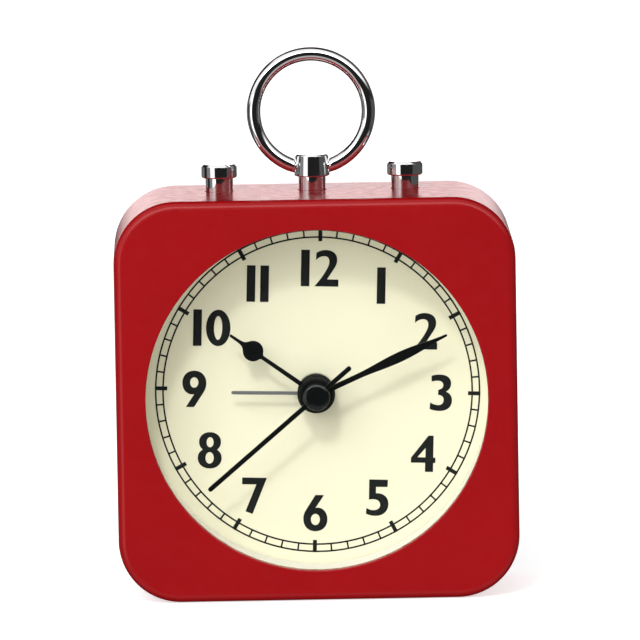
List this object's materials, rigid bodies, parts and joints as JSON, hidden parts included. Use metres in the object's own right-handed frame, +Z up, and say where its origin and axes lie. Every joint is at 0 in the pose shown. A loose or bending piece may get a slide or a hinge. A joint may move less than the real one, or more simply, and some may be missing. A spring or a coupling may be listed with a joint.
{
  "type": "alarm clock",
  "caption": "Square desk alarm clock with rounded corners, a deep round dial, chrome top buttons, a carrying ring on a post, and setting knobs and a battery door at the back.",
  "frame": {"origin": "centre of the bounding box on the plane that the case stands on", "axes": "+X right, seen from the front; -Y towards the viewer, out of the dial; +Z up"},
  "size_m": [0.09, 0.045, 0.1226],
  "materials": {
    "case_red": "satin-gloss lacquer",
    "clear_lens": "clear, polished",
    "white_plastic": "satin",
    "dial_cream": "matt printed",
    "natural_plastic": "moulded",
    "wheel_plastic": "moulded",
    "black_plastic": "fine grain",
    "magnet": "sintered",
    "steel": "zinc plated",
    "copper_winding": "enamelled copper wire",
    "board_green": "solder resist",
    "hand_black": "gloss",
    "hand_grey": "silver-grey paint",
    "chrome": "polished",
    "battery_sleeve": "printed sleeve"
  },
  "bodies": {
    "case": {"case_shell": "case_red", "lens": "clear_lens", "spacer_ring": "white_plastic", "dial_plate": "dial_cream", "movement_front_plate": "natural_plastic", "movement_housing": "natural_plastic", "middle_plate": "wheel_plastic", "dial_nut": "hand_black", "stator": "steel", "coil": "copper_winding", "circuit_board": "board_green", "buzzer": "black_plastic", "ring_post": "chrome", "ring_post_nut": "steel", "alarm_button_switch": "black_plastic", "snooze_button_switch": "black_plastic", "switch_board": "board_green", "back_cover": "black_plastic", "battery_cell": "battery_sleeve", "battery_contact_plus": "steel", "battery_contact_minus": "steel", "back_screw_1": "steel", "back_screw_2": "steel", "back_screw_3": "steel", "back_screw_4": "steel"},
    "second_train": {"second_hand": "hand_black", "hand_cap": "hand_black", "seconds_wheel": "wheel_plastic"},
    "minute_group": {"minute_hand": "hand_black", "minute_wheel": "wheel_plastic"},
    "hour_group": {"hour_hand": "hand_black", "hour_wheel": "wheel_plastic"},
    "alarm_group": {"alarm_hand": "hand_grey", "alarm_hand_hub": "hand_black", "alarm_wheel": "wheel_plastic"},
    "third_wheel": {"third_wheel": "wheel_plastic"},
    "intermediate_wheel": {"intermediate_wheel": "wheel_plastic"},
    "rotor": {"rotor": "magnet"},
    "motion_wheel": {"motion_wheel": "wheel_plastic"},
    "time_knob": {"time_set_knob": "black_plastic", "time_set_arbor": "natural_plastic"},
    "alarm_knob": {"alarm_set_knob": "black_plastic", "alarm_set_arbor": "natural_plastic"},
    "carry_ring": {"carry_ring": "chrome"},
    "alarm_button": {"alarm_button": "chrome", "alarm_button_clip": "steel", "alarm_button_spring": "steel"},
    "snooze_button": {"snooze_button": "chrome", "snooze_button_clip": "steel", "snooze_button_spring": "steel"},
    "battery_door": {"battery_door": "black_plastic"}
  },
  "joints": [
    {"name": "second_hand_turn", "type": "hinge", "parent": "case", "child": "second_train", "pos_m": [0, -0.0151, 0.04515], "axis": [0, 1, 0], "continuous": true},
    {"name": "minute_hand_turn", "type": "hinge", "parent": "case", "child": "minute_group", "pos_m": [0, -0.0126, 0.04515], "axis": [0, 1, 0], "continuous": true},
    {"name": "hour_hand_turn", "type": "hinge", "parent": "case", "child": "hour_group", "pos_m": [0, -0.0106, 0.04515], "axis": [0, 1, 0], "continuous": true},
    {"name": "third_wheel_turn", "type": "hinge", "parent": "case", "child": "third_wheel", "pos_m": [-0.00883, 0.006, 0.05025], "axis": [0, 1, 0], "continuous": true},
    {"name": "intermediate_wheel_turn", "type": "hinge", "parent": "case", "child": "intermediate_wheel", "pos_m": [0.0042, 0.0084, 0.03788], "axis": [0, 1, 0], "continuous": true},
    {"name": "rotor_turn", "type": "hinge", "parent": "case", "child": "rotor", "pos_m": [0.01097, 0.00975, 0.03541], "axis": [0, 1, 0], "continuous": true},
    {"name": "motion_wheel_turn", "type": "hinge", "parent": "case", "child": "motion_wheel", "pos_m": [0.004, 0.0023, 0.05208], "axis": [0, 1, 0], "continuous": true},
    {"name": "time_set_knob_turn", "type": "hinge", "parent": "case", "child": "time_knob", "pos_m": [0.01179, 0.02, 0.05658], "axis": [0, 1, 0], "continuous": true},
    {"name": "alarm_set_knob_turn", "type": "hinge", "parent": "case", "child": "alarm_knob", "pos_m": [-0.006, 0.02, 0.03476], "axis": [0, 1, 0], "continuous": true},
    {"name": "alarm_hand_turn", "type": "hinge", "parent": "case", "child": "alarm_group", "pos_m": [0, -0.008, 0.04515], "axis": [0, 1, 0], "continuous": true},
    {"name": "carry_ring_swing", "type": "hinge", "parent": "case", "child": "carry_ring", "pos_m": [0, 0.0015, 0.0957], "axis": [1, 0, 0], "range_deg": [-95, 95]},
    {"name": "alarm_button_press", "type": "slide", "parent": "case", "child": "alarm_button", "axis": [0, 0, -1], "range_m": [0, 0.002], "stiffness_N_per_m": 400, "springref_m": -0.002, "deforming": ["alarm_button_spring"]},
    {"name": "snooze_button_press", "type": "slide", "parent": "case", "child": "snooze_button", "axis": [0, 0, -1], "range_m": [0, 0.002], "stiffness_N_per_m": 400, "springref_m": -0.002, "deforming": ["snooze_button_spring"]},
    {"name": "battery_door_tilt", "type": "hinge", "parent": "case", "child": "battery_door", "pos_m": [0, 0.0171, 0.0062], "axis": [-1, 0, 0], "range_deg": [0, 100]}
  ],
  "couplings": [
    {"joint": "minute_hand_turn", "follows": "second_hand_turn", "ratio": 0.016667},
    {"joint": "hour_hand_turn", "follows": "second_hand_turn", "ratio": 0.0013889},
    {"joint": "third_wheel_turn", "follows": "second_hand_turn", "ratio": -0.13333},
    {"joint": "intermediate_wheel_turn", "follows": "second_hand_turn", "ratio": -6},
    {"joint": "rotor_turn", "follows": "second_hand_turn", "ratio": 30},
    {"joint": "motion_wheel_turn", "follows": "second_hand_turn", "ratio": -0.0055556},
    {"joint": "time_set_knob_turn", "follows": "second_hand_turn", "ratio": 0.011111},
    {"joint": "alarm_hand_turn", "follows": "alarm_set_knob_turn", "ratio": -1}
  ]
}
